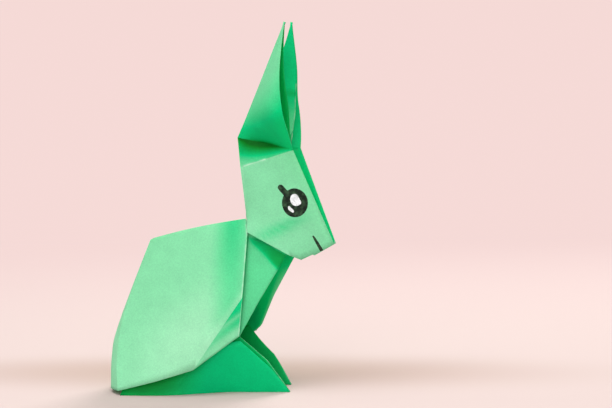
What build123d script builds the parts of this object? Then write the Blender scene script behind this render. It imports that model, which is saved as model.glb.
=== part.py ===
"""A paper rabbit, folded from one square sheet of coloured paper.

The sheet is one thin solid. The corners of its folds are points, given as
(forward, outward, up) in millimetres for the right half of the rabbit, and the
left half mirrors them. A panel is the paper between its folds and cut edges. A
turn is the narrow strip of paper that goes round a tight fold.
"""
import os
from math import dist, exp, pi, sin

from build123d import *

# Paper
PAPER_THICKNESS = 0.3
LAYER_AIR = 0.6
MITRE_LIMIT = 1.8
MITRE_ROUNDS = 12
SPOT_DIGITS = 5
STEPS = 2
HEAD_RUNS = 5
FACE_RUNS = 3
SPINE_RUNS = 4
SHOULDER_RUNS = 3
SOLE_RUNS = 3

# Ears
EAR_TIP = (32.54, 6.5, 138.33)
EAR_ROOT = (11.69, 0.0, 95.7)
EAR_PARTING = (31.99, 0.0, 92.52)
EAR_MOUTH_FLARE = 8.0
EAR_MOUTH_DIP = 2.0
EAR_INNER_FLARE = 4.6
EAR_INNER_DIP = 0.9
EAR_FOLD_AT_ROOT = (1.6, 0.0, 1.1)
EAR_FOLD_WIDTH = 0.8
EAR_ROW_SHARES = (0.0, 0.12, 0.3, 0.53, 0.76, 1.0)
EAR_OUTER_SHARES = (0.0, 0.5, 1.0, 0.8, 0.32, 0.0)
EAR_INNER_SHARES = (0.0, 0.5, 0.95, 0.95, 0.4, 0.0)
EAR_DIP_SHARES = (0.0, 0.15, 0.6, 1.0, 0.8, 0.0)
EAR_VALLEY_REACH = 0.1
EAR_SWELL = 1.6
EAR_SWELL_HEIGHT = 0.75
BROW_VALLEY = 2.1
BROW_VALLEY_LEAN = 0.85

# Head
BROW = (34.02, 6.8, 90.84)
NOSE = (47.3, 1.5, 55.0)
CHIN = (35.1, 4.6, 49.6)
LIP_STEP = (39.2, 3.6, 51.4)
LIP_LOW = (40.02, 3.3, 51.1)
CHEEK_CREASE_BACK = (12.08, 0.0, 86.28)
JAW_MIDDLE = (28.09, 8.0, 53.54)
JAW_FRONT = (31.61, 6.8, 51.41)
JAW_BACK_LEAN = 0.5
JAW_FRONT_LEAN = -0.5
JAW_BACK = (14.94, 5.4, 60.35)
NAPE = (13.56, 0.0, 66.21)

# Neck and chest, folded up inside the head and down into the body
TUCK_DEPTH = 4.5
TUCK_NARROWING = 0.9
NECK_BEND = (15.93, 0.0, 60.11)
NECK_SIDE_BACK = (14.83, 1.9, 57.55)
NECK_SIDE_FRONT = (22.64, 4.8, 55.05)
CHEST_UNDER_CHIN = (29.6, 5.3, 51.38)
CHEST_MIDDLE = (19.57, 8.6, 35.16)
KNEE = (11.86, 11.2, 21.84)
PLEAT_REACH = 0.5

# Body
WITHERS = (13.11, 0.0, 64.83)
SHOULDER = (14.3, 3.2, 59.48)
ELBOW = (13.62, 12.0, 36.49)
BODY_KNEE = (12.17, 13.6, 22.23)
BELLY = (-5.11, 17.0, 10.09)
SKIRT_MIDDLE = (-20.29, 18.0, 5.66)
SKIRT_BACK = (-35.55, 15.2, 1.75)
SPINE_BOW = 0.8
HUMP = (-24.71, 0.0, 57.37)
HAUNCH_UPPER = (-35.07, 4.6, 29.85)
HAUNCH_LOWER = (-37.12, 9.8, 12.92)
RUMP = (-40.0, 0.0, 21.33)
TAIL_UPPER = (-41.72, 0.0, 13.09)
TAIL = (-42.07, 0.0, 1.4)
TAIL_SIDE = (-40.56, 8.4, 1.54)

# Feet
SHIN_UPPER = (12.2, 12.3, 20.43)
SHIN_MIDDLE = (22.9, 9.45, 9.6)
INNER_SHIN = (21.6, 9.0, 12.5)
TOE = (29.4, 7.4, 0.15)
SOLE_FRONT = (0.4, 7.9, 0.15)
SOLE_WIDE = (-14.0, 16.4, 0.15)
HEEL = (-34.8, 15.2, 0.15)
FOOT_TOP_FRONT = (5.76, 13.6, 19.47)
FOOT_TOP_MIDDLE = (-4.46, 14.2, 13.86)
FOOT_TOP_BACK = (-31.76, 13.4, 6.71)

# The left half where it differs, and how paper lies on paper
LEFT_FOOT_SETBACK = 2.6
LEFT_CHEST_LEAD = 1.8
LEFT_CHEST_TOP = 57.0
LEFT_CHEST_TOP_FADE = 8.0
LEFT_CHEST_FOOT = 21.6
LEFT_CHEST_FOOT_FADE = 3.0
LEFT_CHEST_FRONT = 35.0
LEFT_CHEST_FRONT_FADE = 4.0
LEFT_KNEE_DROP = 2.0
LEFT_KNEE_HEIGHT = 20.5
LEFT_KNEE_REACH = 15.0
LEFT_EAR_LEAD = 1.75
LEFT_EAR_HEIGHT = 123.5
LEFT_EAR_REACH = 17.0
LEFT_FADE = 5.0
INNER_FOOT_STEP = 1.3
SPINE_STEP = 1.7
SPINE_DROP = 1.9
LAYER_DROP = 0.35
LAYER_INSET = 0.95
LAYER = PAPER_THICKNESS + LAYER_AIR


def between(start, end, share):
    """The point at a share of the way from start to end."""
    return tuple(a + (b - a) * share for a, b in zip(start, end))


def moved(point, forward=0.0, out=0.0, up=0.0):
    return (point[0] + forward, point[1] + out, point[2] + up)


def straight(corners, steps=STEPS):
    """Points along straight runs, with every corner kept."""
    line = [corners[0]]
    for start, end in zip(corners, corners[1:]):
        line += [between(start, end, step / steps) for step in range(1, steps + 1)]
    return line


def even(start, end, runs):
    """Points along one straight line, in as many runs as the opposite edge has."""
    return spread([start, end], runs * STEPS)


def middle(start, end):
    return between(start, end, 1 / 2)


def curved(corners, steps=STEPS):
    """Points along a smooth curve that passes through every corner."""
    line = [corners[0]]
    last = len(corners) - 1
    for i in range(last):
        before, start, end, after = (corners[max(0, min(last, i + k))] for k in (-1, 0, 1, 2))
        for step in range(1, steps + 1):
            t = step / steps
            weights = (
                (-t + 2 * t**2 - t**3) / 2,
                (2 - 5 * t**2 + 3 * t**3) / 2,
                (t + 4 * t**2 - 3 * t**3) / 2,
                (t**3 - t**2) / 2,
            )
            four = (before, start, end, after)
            line.append(tuple(sum(w * p[axis] for w, p in zip(weights, four)) for axis in range(3)))
    return line


def spread(corners, count):
    """The given number of even runs along a line through the corners."""
    lengths = [dist(p, q) for p, q in zip(corners, corners[1:])]
    total = sum(lengths)
    line = [corners[0]]
    for step in range(1, count):
        target = total * step / count
        run = 0
        while target > lengths[run] and run < len(lengths) - 1:
            target -= lengths[run]
            run += 1
        line.append(between(corners[run], corners[run + 1], target / lengths[run]))
    line.append(corners[-1])
    return line


def softened(line):
    """The same line with the bends of its outward bow rounded off, ends kept."""
    for _ in range(STEPS * STEPS // 2):
        inner = zip(line, line[1:], line[2:])
        line = [line[0]] + [(q[0], (p[1] + 2 * q[1] + r[1]) / 4, q[2]) for p, q, r in inner] + line[-1:]
    return line


def eased(value):
    """A smooth step from 0 to 1."""
    value = max(0.0, min(1.0, value))
    return value * value * (3 - 2 * value)


def bell(value):
    """A smooth hump: 1 at 0, and nothing beyond 1 on either side."""
    return max(0.0, 1 - value * value) ** 2


def panel(top, bottom, left, right):
    """A patch of paper between four edges, as rows of points from top to bottom."""
    columns = len(top) - 1
    rows = len(left) - 1
    grid = []
    for j in range(rows + 1):
        v = j / rows
        row = []
        for i in range(columns + 1):
            u = i / columns
            across = between(left[j], right[j], u)
            down = between(top[i], bottom[i], v)
            corner = between(between(top[0], top[-1], u), between(bottom[0], bottom[-1], u), v)
            row.append(tuple(a + d - c for a, d, c in zip(across, down, corner)))
        grid.append(row)
    return grid


def turn(edge, partner):
    """The strip of paper that goes round a tight fold."""
    return [edge, partner]


def ear_panels():
    """The outer and the inner wall of one ear, joined by the fold behind."""
    outer_ridge = straight([between(EAR_ROOT, EAR_TIP, share) for share in EAR_ROW_SHARES])
    inner_root = moved(EAR_ROOT, *EAR_FOLD_AT_ROOT)
    inner_tip = moved(EAR_TIP, out=-EAR_FOLD_WIDTH)
    inner_ridge = straight([between(inner_root, inner_tip, share) for share in EAR_ROW_SHARES])
    outer_rim = []
    inner_rim = []
    rows = zip(EAR_ROW_SHARES, EAR_OUTER_SHARES, EAR_INNER_SHARES, EAR_DIP_SHARES)
    for share, outer, inner, dip in rows:
        front = between(BROW, EAR_TIP, share)
        outer_rim.append(moved(front, -dip * EAR_MOUTH_DIP, outer * EAR_MOUTH_FLARE))
        front = between(EAR_PARTING, inner_tip, share)
        inner_rim.append(moved(front, -dip * EAR_INNER_DIP, inner * EAR_INNER_FLARE))
    brow = brow_line()
    parting = even(inner_root, EAR_PARTING, 2)
    outer = swollen(panel(brow, [EAR_TIP] * len(brow), outer_ridge, curved(outer_rim)))
    inner = panel(parting, [inner_tip] * len(parting), inner_ridge, curved(inner_rim))
    return [outer, turn(outer_ridge, inner_ridge), inner]


def brow_valley(share):
    """How far the fold between ear and cheek lies inside a straight line, from back to front."""
    return BROW_VALLEY * sin(pi * share**BROW_VALLEY_LEAN) ** 2


def brow_line():
    """The valley fold between the ear and the cheek."""
    line = even(EAR_ROOT, BROW, HEAD_RUNS)
    last = len(line) - 1
    return [moved(point, out=-brow_valley(i / last)) for i, point in enumerate(line)]


def swollen(wall):
    """The ear's outer wall, brought out again above the valley so that it hangs over it."""
    result = []
    for j, row in enumerate(wall):
        v = j / (len(wall) - 1)
        recovery = (1 - v) * (1 - exp(-v / EAR_VALLEY_REACH))
        swell = EAR_SWELL * sin(pi * min(1.0, v / EAR_SWELL_HEIGHT)) ** 2
        shares = [i / (len(row) - 1) for i in range(len(row))]
        outward = [recovery * brow_valley(u) + swell * sin(pi * u) for u in shares]
        result.append([moved(point, out=extra) for point, extra in zip(row, outward)])
    return result


def head_panels():
    """The facet under the ear, the cheek, and the jaw turned up inside it."""
    lower = cheek_hem()
    crease = even(CHEEK_CREASE_BACK, BROW, HEAD_RUNS)
    facet_back = straight([EAR_ROOT, CHEEK_CREASE_BACK])
    facet = panel(brow_line(), crease, facet_back, [BROW] * len(facet_back))
    back = even(CHEEK_CREASE_BACK, NAPE, FACE_RUNS)
    face = even(BROW, NOSE, FACE_RUNS)
    cheek = panel(crease, lower, back, face)
    inner_jaw = straight(inside_jaw(1))
    jaw = lower[: len(inner_jaw)]
    tuck = straight(tuck_corners(1))
    back = straight([inner_jaw[0], tuck[0]])
    front = straight([inner_jaw[-1], tuck[-1]])
    return [facet, cheek, turn(jaw, inner_jaw), panel(inner_jaw, tuck, back, front)]


def cheek_hem():
    """The lower edge of the cheek: the jaw fold, the chin, and the lip with its small step."""
    half = STEPS // 2
    line = straight([NAPE, JAW_BACK, JAW_MIDDLE, JAW_FRONT])
    line += straight([JAW_FRONT, CHIN], half)[1:]
    line += straight([CHIN, LIP_STEP], half)[1:]
    return line + straight([LIP_LOW, NOSE], STEPS - 1)


def inside_jaw(layers):
    """The jaw's corners on a layer further inside: forward at the spine, inward elsewhere."""
    depth = LAYER * layers
    nape = moved(NAPE, forward=SPINE_STEP * depth)
    others = ((JAW_BACK, JAW_BACK_LEAN), (JAW_MIDDLE, 0.0), (JAW_FRONT, JAW_FRONT_LEAN))
    return [nape] + [moved(corner, forward=lean * depth, out=-depth) for corner, lean in others]


def tuck_corners(layers):
    """The hidden fold above the jaw, inside the head."""
    drift = TUCK_DEPTH * (EAR_ROOT[0] - NAPE[0]) / (EAR_ROOT[2] - NAPE[2])
    nape, *others = inside_jaw(layers)
    raised = [moved(corner, drift, -TUCK_NARROWING, TUCK_DEPTH) for corner in others]
    return [moved(nape, forward=drift, up=TUCK_DEPTH)] + raised


def chest_panels():
    """The neck, the chest and the pleat that joins the chest to the body."""
    tuck = straight(tuck_corners(1))
    neck_top = straight(tuck_corners(2))
    body_front = body_front_edge()
    pleat_front = [inside_body(point, 1) for point in body_front]
    pleat_fold = [inside_body(point, 1) for point in over_pleat()]
    chest_fold = [inside_body(point, 2) for point in over_pleat()]
    neck_back = straight([neck_top[0], NECK_BEND, chest_fold[0]])
    neck_front = even(neck_top[-1], CHEST_UNDER_CHIN, 2)
    chest_top = softened(straight([chest_fold[0], NECK_SIDE_BACK, NECK_SIDE_FRONT, CHEST_UNDER_CHIN]))
    neck = panel(neck_top, chest_top, neck_back, neck_front)
    chest_front = spread([CHEST_UNDER_CHIN, CHEST_MIDDLE, KNEE], len(chest_fold) - 1)
    chest_foot = spread([chest_fold[-1], KNEE], len(chest_top) - 1)
    chest = panel(chest_top, chest_foot, chest_fold, chest_front)
    pleat_top = straight([pleat_fold[0], pleat_front[0]])
    pleat_foot = straight([pleat_fold[-1], pleat_front[-1]])
    pleat = panel(pleat_top, pleat_foot, pleat_fold, pleat_front)
    turns = [turn(tuck, neck_top), turn(chest_fold, pleat_fold), turn(pleat_front, body_front)]
    return [neck, chest, pleat] + turns


def inside_body(point, layers):
    """A point under the body by some layers of paper: down at the spine, inward below it."""
    depth = LAYER * layers
    steep = min(1.0, point[1] / SHOULDER[1])
    drop = SPINE_DROP - (SPINE_DROP - LAYER_DROP) * steep
    return moved(point, out=-LAYER_INSET * depth * steep, up=-drop * depth)


def over_pleat():
    """The line on the body that lies over the pleat's hidden fold."""
    flank, knee, _ = body_panels()
    upper = [row[1] for row in flank]
    end = between(upper[-1], knee[-1][1], PLEAT_REACH)
    return upper + spread([upper[-1], end], 2 * STEPS)[1:]


def body_front_edge():
    return straight([WITHERS, SHOULDER, middle(SHOULDER, ELBOW), ELBOW, middle(ELBOW, BODY_KNEE), BODY_KNEE])


def body_panels():
    """The flank, the corner facet at the knee and the rounded rump."""
    spine = even(WITHERS, HUMP, SPINE_RUNS)
    last = len(spine) - 1
    spine = [moved(point, up=SPINE_BOW * sin(pi * i / last)) for i, point in enumerate(spine)]
    front = body_front_edge()
    elbow = SHOULDER_RUNS * STEPS
    crease = even(ELBOW, BELLY, 2)
    skirt = softened(straight([BELLY, SKIRT_MIDDLE, SKIRT_BACK]))
    haunch = curved([HUMP, HAUNCH_UPPER, HAUNCH_LOWER, SKIRT_BACK])
    flank = panel(spine, crease + skirt[1:], front[: elbow + 1], haunch)
    knee_hem = even(BODY_KNEE, BELLY, 2)
    knee = panel([ELBOW] * len(knee_hem), knee_hem, front[elbow:], crease)
    back = curved([HUMP, RUMP, TAIL_UPPER, TAIL])
    tail_hem = curved([SKIRT_BACK, TAIL_SIDE, TAIL])
    rump = panel([HUMP] * len(tail_hem), tail_hem, haunch, back)
    return [flank, knee, rump]


def foot_panels():
    """The inner layer that comes down from the chest, and the outer layer folded up again."""
    sole = spread([TOE, SOLE_FRONT], SOLE_RUNS * STEPS) + straight([SOLE_FRONT, SOLE_WIDE, HEEL])[1:]
    inner_sole = [moved(point, out=-LAYER) for point in sole]
    top = spread([SHIN_UPPER, FOOT_TOP_FRONT], SOLE_RUNS * STEPS)
    top = softened(top + straight([FOOT_TOP_FRONT, FOOT_TOP_MIDDLE, FOOT_TOP_BACK])[1:])
    shin = straight([SHIN_UPPER, SHIN_MIDDLE, TOE])
    back = even(FOOT_TOP_BACK, HEEL, 2)
    outer = panel(top, sole, shin, back)
    chest_foot = inside_body(over_pleat()[-1], 2)
    inner_middle = moved(FOOT_TOP_MIDDLE, out=-INNER_FOOT_STEP)
    inner_end = moved(FOOT_TOP_BACK, out=-INNER_FOOT_STEP)
    inner_top = spread([chest_foot, KNEE], SOLE_RUNS * STEPS)[::-1]
    inner_top += straight([chest_foot, inner_middle, inner_end])[1:]
    inner_shin = straight([KNEE, INNER_SHIN, inner_sole[0]])
    inner_back = even(inner_end, inner_sole[-1], 2)
    inner = panel(inner_top, inner_sole, inner_shin, inner_back)
    return [inner, turn(inner_sole, sole), outer]


def right_side(point):
    return Vector(point[0], -point[1], point[2])


def left_side(point):
    """The mirrored point, with the small unevenness of a sheet folded by hand."""
    forward, out, up = point
    front = eased(forward / KNEE[0]) * eased(out / LEFT_FADE)
    chest = eased((LEFT_CHEST_TOP - up) / LEFT_CHEST_TOP_FADE)
    chest *= eased((up - LEFT_CHEST_FOOT) / LEFT_CHEST_FOOT_FADE)
    chest *= eased((LEFT_CHEST_FRONT - forward) / LEFT_CHEST_FRONT_FADE)
    knee = bell((up - LEFT_KNEE_HEIGHT) / LEFT_KNEE_REACH)
    ear = bell((up - LEFT_EAR_HEIGHT) / LEFT_EAR_REACH)
    foot = 0.0
    if up < KNEE[2] and forward > KNEE[0]:
        foot = (forward - KNEE[0]) / (TOE[0] - KNEE[0])
    lead = (LEFT_CHEST_LEAD * chest + LEFT_EAR_LEAD * ear) * front
    return Vector(forward + lead - LEFT_FOOT_SETBACK * foot, out, up - LEFT_KNEE_DROP * knee * front)


def spot(vector):
    return tuple(round(value, SPOT_DIGITS) + 0.0 for value in vector)


def triangles_of(grids, place):
    """Two triangles in each cell of each panel, without the ones that have no area."""
    triangles = []
    for grid in grids:
        for row, next_row in zip(grid, grid[1:]):
            for i in range(len(row) - 1):
                a, b = spot(place(row[i])), spot(place(row[i + 1]))
                c, d = spot(place(next_row[i + 1])), spot(place(next_row[i]))
                for corners in ((a, b, c), (a, c, d)):
                    if len(set(corners)) == 3:
                        triangles.append(corners)
    return triangles


def facing_one_way(triangles):
    """The same triangles, turned so that neighbours have the same side out."""
    by_edge = {}
    for index, (a, b, c) in enumerate(triangles):
        for edge in ((a, b), (b, c), (c, a)):
            by_edge.setdefault(frozenset(edge), []).append(index)
    faced = {0: triangles[0]}
    waiting = [0]
    while waiting:
        a, b, c = faced[waiting.pop()]
        for edge in ((a, b), (b, c), (c, a)):
            for other in by_edge[frozenset(edge)]:
                if other in faced:
                    continue
                p, q, r = triangles[other]
                same_way = edge in ((p, q), (q, r), (r, p))
                faced[other] = (r, q, p) if same_way else (p, q, r)
                waiting.append(other)
    return [faced[index] for index in sorted(faced)]


def thick_sheet(triangles):
    """Give the triangles the paper's thickness and close the cut edges."""
    normals = {}
    for a, b, c in triangles:
        side = (Vector(b) - Vector(a)).cross(Vector(c) - Vector(a)).normalized()
        for corner in (a, b, c):
            normals.setdefault(corner, []).append(side)
    front = {}
    back = {}
    for corner, sides in normals.items():
        step = mitre(sides)
        front[corner] = Vector(corner) + step
        back[corner] = Vector(corner) - step
    faces = []
    open_edges = {}
    for a, b, c in triangles:
        faces.append(flat_face(front[a], front[b], front[c]))
        faces.append(flat_face(back[c], back[b], back[a]))
        for edge in ((a, b), (b, c), (c, a)):
            partner = (edge[1], edge[0])
            if partner in open_edges:
                del open_edges[partner]
            else:
                open_edges[edge] = True
    for a, b in open_edges:
        faces.append(flat_face(front[b], front[a], back[a]))
        faces.append(flat_face(front[b], back[a], back[b]))
    return Solid(Shell(faces))


def mitre(sides):
    """The step from a corner to the paper's surface, half a thickness from each facet there."""
    half = PAPER_THICKNESS / 2
    step = Vector(0, 0, 0)
    for _ in range(MITRE_ROUNDS):
        for side in sides:
            step += side * (half - step.dot(side))
    length = step.dot(step) ** 0.5
    longest = half * MITRE_LIMIT
    return step * (longest / length) if length > longest else step


def flat_face(*corners):
    return Face(Wire.make_polygon(corners))


def folded_sheet():
    panels = ear_panels() + head_panels() + chest_panels() + body_panels() + foot_panels()
    triangles = triangles_of(panels, right_side) + triangles_of(panels, left_side)
    sheet = thick_sheet(facing_one_way(triangles))
    box = sheet.bounding_box()
    return sheet.moved(Location((-box.center().X, -box.center().Y, -box.min.Z)))


os.makedirs("parts", exist_ok=True)
export_step(folded_sheet(), os.path.join("parts", "folded_sheet.step"))
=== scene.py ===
"""The look of a paper rabbit folded from one square of green paper.

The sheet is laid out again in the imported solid's place, finer than the solid, with sharp
folds, softly bent panels, and the ink of the eye and the mouth as thin pieces on the paper.
Corners are (forward, outward, up) in millimetres for the right half of the rabbit.
"""
import math

import bmesh
import bpy
import numpy as np
from mathutils import Matrix, Vector, noise
from mathutils.bvhtree import BVHTree

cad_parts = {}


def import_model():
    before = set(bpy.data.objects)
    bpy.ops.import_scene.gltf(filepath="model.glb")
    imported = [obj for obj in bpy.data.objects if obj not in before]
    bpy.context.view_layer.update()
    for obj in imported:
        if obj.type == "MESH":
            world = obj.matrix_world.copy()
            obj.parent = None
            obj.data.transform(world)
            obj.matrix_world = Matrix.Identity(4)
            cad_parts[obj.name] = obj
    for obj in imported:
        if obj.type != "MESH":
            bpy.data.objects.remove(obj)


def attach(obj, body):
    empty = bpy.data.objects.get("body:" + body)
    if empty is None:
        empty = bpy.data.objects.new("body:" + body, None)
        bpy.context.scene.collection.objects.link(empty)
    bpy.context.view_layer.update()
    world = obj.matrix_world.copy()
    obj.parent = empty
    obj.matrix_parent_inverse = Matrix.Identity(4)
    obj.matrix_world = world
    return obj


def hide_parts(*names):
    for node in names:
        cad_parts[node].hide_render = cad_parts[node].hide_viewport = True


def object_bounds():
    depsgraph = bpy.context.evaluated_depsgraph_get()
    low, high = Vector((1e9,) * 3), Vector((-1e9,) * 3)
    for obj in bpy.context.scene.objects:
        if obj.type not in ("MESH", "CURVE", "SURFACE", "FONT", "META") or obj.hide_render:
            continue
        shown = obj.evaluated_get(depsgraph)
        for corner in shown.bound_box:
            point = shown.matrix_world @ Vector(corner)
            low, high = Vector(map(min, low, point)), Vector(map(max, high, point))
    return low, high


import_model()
cad_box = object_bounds()

MM = 0.001

# Paper
PAPER_THICKNESS = 0.17
LAYER = 0.9
STEPS = 6
SPOT_DIGITS = 5
SHARP_ANGLE = math.radians(9)

# Ears
EAR_TIP = (32.54, 6.5, 138.18)
EAR_ROOT = (11.69, 0.0, 95.7)
EAR_PARTING = (31.99, 0.0, 92.52)
EAR_MOUTH_FLARE = 8.0
EAR_MOUTH_DIP = 2.0
EAR_INNER_FLARE = 4.6
EAR_FOLD_AT_ROOT = (1.6, 0.0, 1.1)
EAR_FOLD_WIDTH = 0.8
EAR_ROW_SHARES = (0.0, 0.12, 0.3, 0.53, 0.76, 1.0)
EAR_OUTER_SHARES = (0.0, 0.5, 1.0, 0.8, 0.32, 0.0)
EAR_INNER_SHARES = (0.0, 0.5, 0.95, 0.95, 0.4, 0.0)
EAR_DIP_SHARES = (0.0, 0.15, 0.6, 1.0, 0.8, 0.0)
EAR_INNER_LEAD = (0.0, 0.15, 0.65, -0.25, -0.7, 0.0)

# Head
BROW = (34.02, 6.8, 90.84)
NOSE = (47.3, 1.5, 55.0)
CHIN = (35.1, 4.6, 49.6)
JAW_MIDDLE = (28.09, 8.0, 53.54)
JAW_FRONT = (31.61, 6.8, 51.41)
JAW_BACK = (14.94, 5.4, 60.35)
NAPE = (13.56, 0.0, 66.21)
LIP_STEP = (39.2, 3.6, 51.4)
LIP_LOW = (40.02, 3.3, 51.1)
CHEEK_CREASE_BACK = (12.19, 0.0, 84.6)
BROW_VALLEY = 2.6
BROW_VALLEY_LEAN = 1.05
EAR_VALLEY_REACH = 0.1
EAR_SWELL = 2.8
EAR_SWELL_TOP = 0.75

# Neck and chest
TUCK_DEPTH = 4.5
TUCK_NARROWING = 1.8
NECK_BEND = (15.93, 0.0, 60.11)
NECK_SIDE_BACK = (14.83, 1.9, 57.55)
NECK_SIDE_FRONT = (22.64, 4.8, 55.05)
CHEST_UNDER_CHIN = (29.6, 5.3, 51.38)
CHEST_MIDDLE = (19.57, 8.6, 35.16)
KNEE = (11.86, 11.2, 21.84)
PLEAT_REACH = 0.5

# Body
WITHERS = (13.11, 0.0, 64.83)
SHOULDER = (14.3, 3.2, 59.48)
ELBOW = (13.62, 12.0, 36.49)
BODY_KNEE = (12.17, 13.6, 22.23)
BELLY = (-5.11, 17.0, 10.09)
SKIRT_MIDDLE = (-20.29, 18.0, 5.66)
SKIRT_BACK = (-35.55, 15.2, 1.75)
SPINE_BOW = 0.8
FLANK_SWELL = 1.9
FLANK_SWELL_RISE = 0.3
FLANK_FLARE = 1.5
HUMP = (-24.71, 0.0, 57.37)
HAUNCH_UPPER = (-35.07, 4.6, 29.85)
HAUNCH_LOWER = (-37.12, 9.8, 12.92)
RUMP = (-40.0, 0.0, 21.33)
TAIL_UPPER = (-41.72, 0.0, 13.09)
TAIL = (-42.07, 0.0, 1.4)
TAIL_SIDE = (-40.56, 8.4, 1.54)

# Feet
SHIN_UPPER = (12.2, 12.3, 20.43)
SHIN_MIDDLE = (22.9, 9.45, 9.6)
INNER_SHIN = (21.6, 9.0, 12.5)
TOE = (29.4, 7.4, 0.15)
SOLE_FRONT = (0.4, 7.9, 0.15)
SOLE_WIDE = (-14.0, 16.4, 0.15)
HEEL = (-34.8, 15.2, 0.15)
FOOT_TOP_FRONT = (5.76, 13.6, 19.47)
FOOT_TOP_MIDDLE = (-4.46, 14.2, 13.86)
FOOT_TOP_BACK = (-31.76, 13.4, 6.71)
LEFT_FOOT_SETBACK = 2.6
LEFT_CHEST_LEAD = 1.8
LEFT_CHEST_TOP = 57.0
LEFT_CHEST_TOP_FADE = 8.0
LEFT_CHEST_FOOT = 21.6
LEFT_CHEST_FOOT_FADE = 3.0
LEFT_CHEST_FRONT = 35.0
LEFT_CHEST_FRONT_FADE = 4.0
LEFT_KNEE_DROP = 2.0
LEFT_KNEE_HEIGHT = 20.5
LEFT_KNEE_REACH = 15.0
LEFT_EAR_LEAD = 1.75
LEFT_EAR_HEIGHT = 123.5
LEFT_EAR_REACH = 17.0
LEFT_FADE = 5.0
INNER_FOOT_STEP = 1.3
SPINE_STEP = 1.7
SPINE_DROP = 1.9
LAYER_DROP = 0.35
LAYER_INSET = 0.95
SOLE_LIFT = 0.046

# Surface
FIBRE_SCALE = 1900
FIBRE_CONTRAST = 0.13
FIBRE_RELIEF = 0.35
FIBRE_HEIGHT = 0.04
CLOUD_SCALE = 170
CLOUD_CONTRAST = 0.04
RUB_SCALE = 420
INWARD = 1.5
WAVE_LENGTH = 17.0
WAVE_HEIGHT = 0.22
WAVE_FADE = 4.0
WAVE_BOTTOM = 1.0
WAVE_PLANES = (40, 90)
# Pale lines along folds and cut edges, partly rubbed paper and white cut edges, partly painted
# highlight where a fold catches the light.
INNER_RIM_WEAR_AND_HIGHLIGHT = (0.3, 1.0)
WEAR_AND_HIGHLIGHT_SHARPNESS = 5.0
WEAR_AND_HIGHLIGHT_STRENGTH = 0.85
# A lit and a shaded copy of the one green, and the dark of deep folds: painted light and shade,
# mixed by the painted shade stored on the sheet.
PAPER_PAINTED_LIT = (0.334, 0.80, 0.480)
PAPER_PAINTED_SHADE = (0.0, 0.645, 0.24)
PAPER_PAINTED_DARK_SHADE = (0.0, 0.15, 0.01)
PAPER_GLOW = (0.0, 0.66, 0.27)
# The pale of rubbed folds and cut edges, and of the painted highlight where a fold catches the
# light.
PAPER_RUBBED_AND_HIGHLIT = (0.74, 0.93, 0.79)
PAPER_ROUGHNESS = 0.6
PAPER_GLOSS = 0.12
PAPER_THROUGH = 0.32
INK_BLACK = (0.003, 0.009, 0.004)
INK_BLACK_THIN = (0.03, 0.065, 0.03)
INK_WHITE = (0.80, 0.79, 0.80)
INK_WHITE_THIN = (0.50, 0.50, 0.50)
INK_ROUGHNESS = 0.6
INK_GLOSS = 0.15
STROKE_SCALE = 620
# The line of the cheek's streak of painted shade, along the soft valley of a fold pressed and
# opened again.
CHEEK_PAINTED_SHADE_STREAK = ((18.0, 57.6), (40.0, 66.9))

# Ink, as (forward, up) on the cheek
EYE = (33.56, 71.1)
EYE_HALF_WIDTH = 4.88
EYE_HALF_HEIGHT = 5.42
EYE_WOBBLE = 0.014
EYE_WOBBLE_PACE = 2.2
EYE_WOBBLE_PLANE = 3.7
EYE_OUTLINE_STEP = 0.02
LASH_TIP = (28.35, 76.9)
LASH_HALF_WIDTH = 1.12
HIGHLIGHT = (
    (32.45, 73.95), (33.2, 74.4), (34.1, 74.35), (34.8, 73.7), (35.35, 72.6),
    (35.9, 71.5), (35.85, 70.75), (35.0, 70.15), (34.0, 69.9), (33.0, 70.25),
    (32.3, 70.95), (31.9, 72.05), (32.0, 73.2),
)
GLINT = (
    (30.95, 69.65), (31.5, 69.95), (32.2, 69.2), (33.0, 68.3), (33.1, 67.75),
    (32.75, 67.4), (32.2, 67.75), (31.5, 68.2), (31.05, 68.8),
)
MOUTH = (
    (39.55, 58.34), (39.86, 58.54), (40.22, 58.3), (41.05, 56.98), (41.86, 55.55),
    (42.66, 54.05), (43.2, 52.94), (42.72, 52.7), (42.24, 52.46), (41.66, 53.42),
    (40.76, 55.40), (40.02, 57.0),
)
INK_RINGS = (1.0, 0.94, 0.8, 0.6, 0.4, 0.2)
INK_THICKNESS = 0.03
INK_RIM_SHARE = 0.4
INK_RAY_START = 0.05
INK_GAP = 0.004

# Camera and stage
STAGE_COLOUR = (0.505, 0.412, 0.390)
STAGE_BOUNCE = (0.42, 0.42, 0.40)
STAGE_ROUGHNESS = 0.95
BACKDROP_LOW = (0.918, 0.702, 0.678)
BACKDROP_HIGH = (0.900, 0.680, 0.650)
# A painted shadow on the floor: the middle of a soft ellipse, its reach, and the tint at its
# middle.
PAINTED_SHADOW_PLACE = (-0.01, 0.032)
PAINTED_SHADOW_REACH = (0.21, 0.055)
PAINTED_SHADOW_TINT = (0.80, 0.74, 0.68)
FADE_START = 0.05
FADE_END = 0.5
STAGE_NEAR = 2.0
STAGE_FAR = 0.9
STAGE_BEND = 0.8
STAGE_STEPS = 12
STAGE_HEIGHT = 3.0
STAGE_HALF = 3.0
AMBIENT = 0.6
AMBIENT_COLOUR = (1.0, 1.0, 1.0)
LAMP_CENTRE = (0.0, 0.0, 0.06)
LAMP_DISTANCE = 1.1
# Azimuth and elevation in degrees, size in metres, power in watts
LAMPS = (
    (-20, 72, 0.8, 10.0),
    (5, 12, 0.9, 7.5),
    (165, 32, 0.8, 16),
)
LENS_MM = 100.0
SENSOR_MM = 36.0
CAMERA_PLACE = (168.3, -620.7, 126.1)
CAMERA_ROLL = -2.16
CAMERA_TARGET = (34.12, 0.0, 70.11)


def between(start, end, share):
    """The point at a share of the way from start to end."""
    return tuple(a + (b - a) * share for a, b in zip(start, end))


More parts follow.
